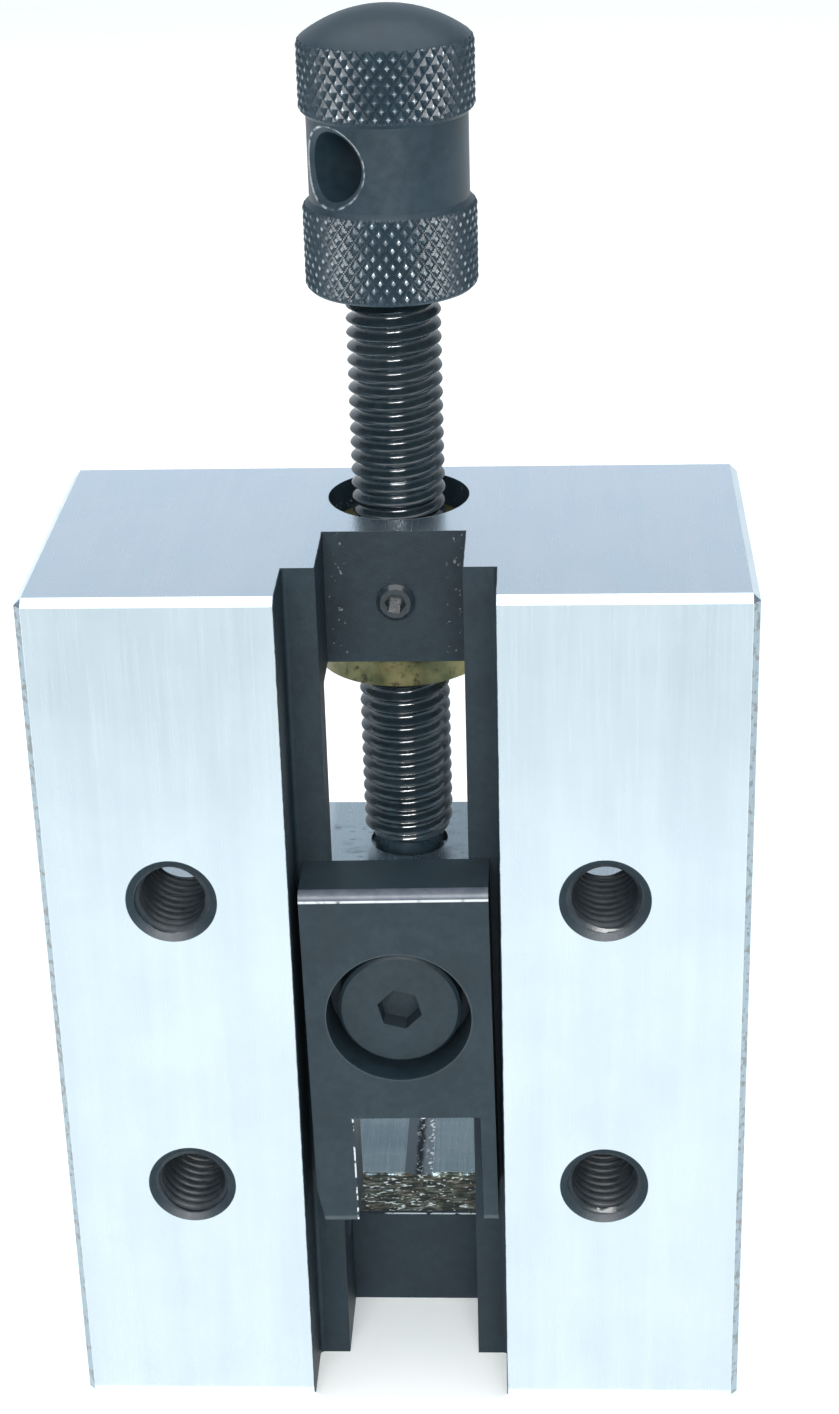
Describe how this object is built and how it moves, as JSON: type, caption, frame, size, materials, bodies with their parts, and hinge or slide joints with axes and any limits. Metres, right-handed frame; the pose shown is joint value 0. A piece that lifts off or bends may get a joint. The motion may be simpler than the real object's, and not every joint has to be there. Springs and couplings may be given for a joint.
{
  "type": "toolmaker's vise",
  "caption": "Small ground toolmaker's vise with a screw-driven moving jaw, keeper plate, knurled knob and tapped base.",
  "frame": {"origin": "under the middle of the block, on its fixed-jaw end", "axes": "+Z along the lead screw towards its knob, -Y the base face with the tapped holes, +Y the side of the jaws"},
  "size_m": [0.073, 0.0382, 0.1488],
  "materials": {
    "ground_steel": "surface-ground, satin",
    "black_oxide_steel": "black oxide, satin",
    "fastener_steel": "black oxide, oiled",
    "screw_steel": "black oxide, oiled",
    "knob_steel": "black oxide, knurled",
    "bronze": "turned, aged",
    "hardened_steel": "polished"
  },
  "bodies": {
    "bed": {"vise_body": "ground_steel", "lead_nut": "bronze", "nut_set_screw": "fastener_steel"},
    "jaw": {"moving_jaw": "ground_steel", "keeper_plate": "black_oxide_steel", "keeper_screw": "fastener_steel", "keeper_washer": "fastener_steel", "retaining_pin_left": "hardened_steel", "retaining_pin_right": "hardened_steel", "thrust_ball": "hardened_steel"},
    "spindle": {"lead_screw": "screw_steel", "knob": "knob_steel"}
  },
  "joints": [
    {"name": "jaw_slide", "type": "slide", "parent": "bed", "child": "jaw", "axis": [0, 0, 1], "range_m": [-0.0216, 0.0225]},
    {"name": "spindle_turn", "type": "hinge", "parent": "jaw", "child": "spindle", "pos_m": [0, 0.00965, 0.1], "axis": [0, 0, 1], "range_deg": [-5190, 5406]}
  ],
  "couplings": [
    {"joint": "spindle_turn", "follows": "jaw_slide", "rad_per_m": 4188.8}
  ]
}
